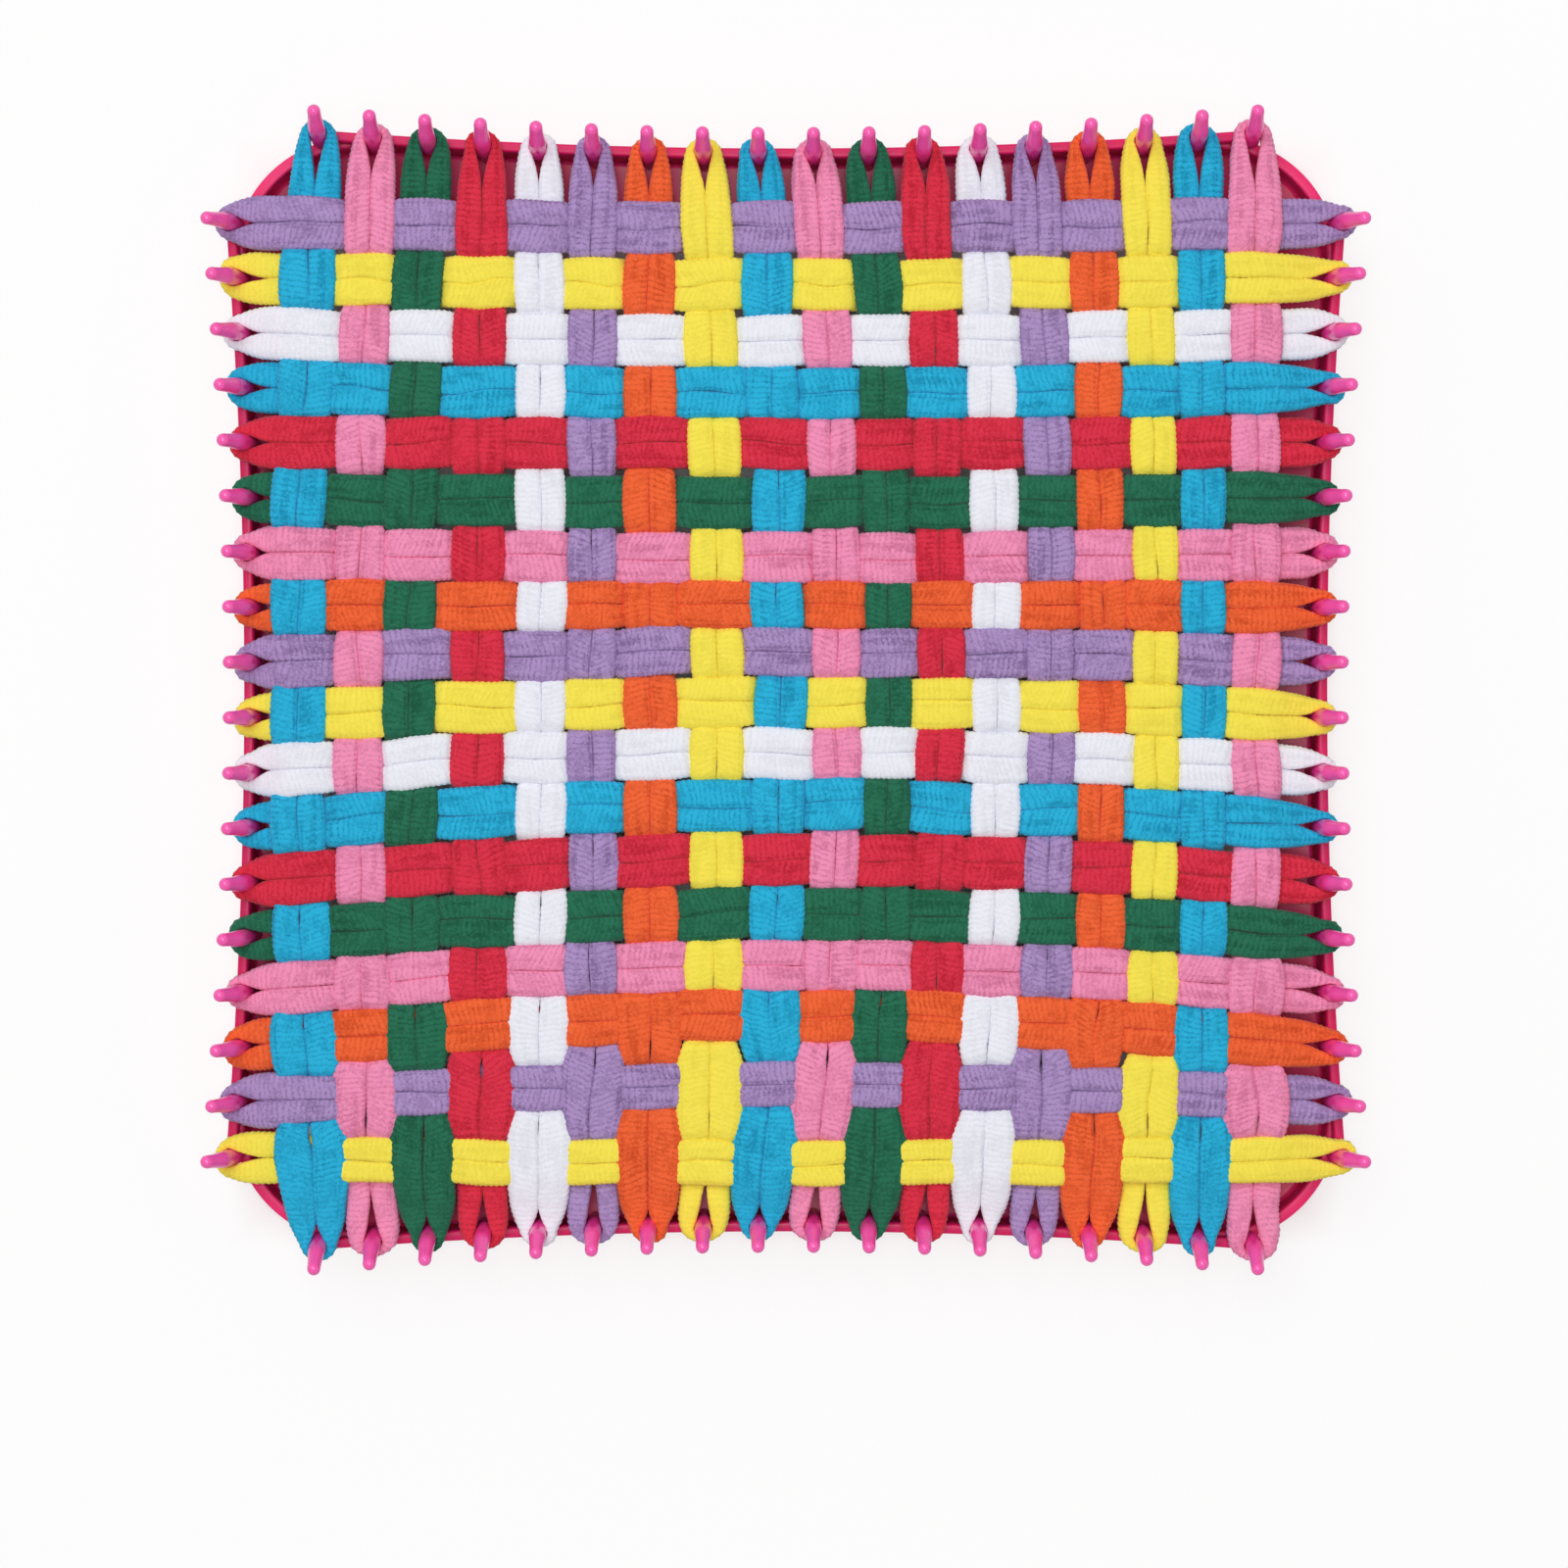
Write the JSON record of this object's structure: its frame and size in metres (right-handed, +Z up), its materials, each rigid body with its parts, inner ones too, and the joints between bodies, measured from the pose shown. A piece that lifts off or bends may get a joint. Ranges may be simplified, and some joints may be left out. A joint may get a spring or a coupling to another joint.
{
  "type": "potholder loom",
  "caption": "Square plastic peg loom with rounded corners and outward-leaning pegs, strung both ways with a woven mat of stretchy knit loops.",
  "frame": {"origin": "centre of the loom, on the surface that it rests on", "axes": "+Z up out of the loom, through the woven mat; +Y along the warp loops towards the first weft loop; +X along the weft loops towards the last warp loop"},
  "size_m": [0.2004, 0.2004, 0.0246],
  "materials": {
    "pink_plastic": "glossy moulded plastic",
    "blue_knit": "ribbed stretch knit",
    "pink_knit": "ribbed stretch knit",
    "green_knit": "ribbed stretch knit",
    "red_knit": "ribbed stretch knit",
    "white_knit": "ribbed stretch knit",
    "purple_knit": "ribbed stretch knit",
    "orange_knit": "ribbed stretch knit",
    "yellow_knit": "ribbed stretch knit"
  },
  "bodies": {
    "loom": {"loom_frame": "pink_plastic"},
    "woven_mat": {"warp_loop_01": "blue_knit", "warp_loop_02": "pink_knit", "warp_loop_03": "green_knit", "warp_loop_04": "red_knit", "warp_loop_05": "white_knit", "warp_loop_06": "purple_knit", "warp_loop_07": "orange_knit", "warp_loop_08": "yellow_knit", "warp_loop_09": "blue_knit", "warp_loop_10": "pink_knit", "warp_loop_11": "green_knit", "warp_loop_12": "red_knit", "warp_loop_13": "white_knit", "warp_loop_14": "purple_knit", "warp_loop_15": "orange_knit", "warp_loop_16": "yellow_knit", "warp_loop_17": "blue_knit", "warp_loop_18": "pink_knit", "weft_loop_01": "purple_knit", "weft_loop_02": "yellow_knit", "weft_loop_03": "white_knit", "weft_loop_04": "blue_knit", "weft_loop_05": "red_knit", "weft_loop_06": "green_knit", "weft_loop_07": "pink_knit", "weft_loop_08": "orange_knit", "weft_loop_09": "purple_knit", "weft_loop_10": "yellow_knit", "weft_loop_11": "white_knit", "weft_loop_12": "blue_knit", "weft_loop_13": "red_knit", "weft_loop_14": "green_knit", "weft_loop_15": "pink_knit", "weft_loop_16": "orange_knit", "weft_loop_17": "purple_knit", "weft_loop_18": "yellow_knit"}
  },
  "joints": [
    {"name": "mat_lift", "type": "slide", "parent": "loom", "child": "woven_mat", "axis": [0, 0, 1], "range_m": [0, 0.03], "deforming": ["warp_loop_01", "warp_loop_02", "warp_loop_03", "warp_loop_04", "warp_loop_05", "warp_loop_06", "warp_loop_07", "warp_loop_08", "warp_loop_09", "warp_loop_10", "warp_loop_11", "warp_loop_12", "warp_loop_13", "warp_loop_14", "warp_loop_15", "warp_loop_16", "warp_loop_17", "warp_loop_18", "weft_loop_01", "weft_loop_02", "weft_loop_03", "weft_loop_04", "weft_loop_05", "weft_loop_06", "weft_loop_07", "weft_loop_08", "weft_loop_09", "weft_loop_10", "weft_loop_11", "weft_loop_12", "weft_loop_13", "weft_loop_14", "weft_loop_15", "weft_loop_16", "weft_loop_17", "weft_loop_18"]}
  ]
}
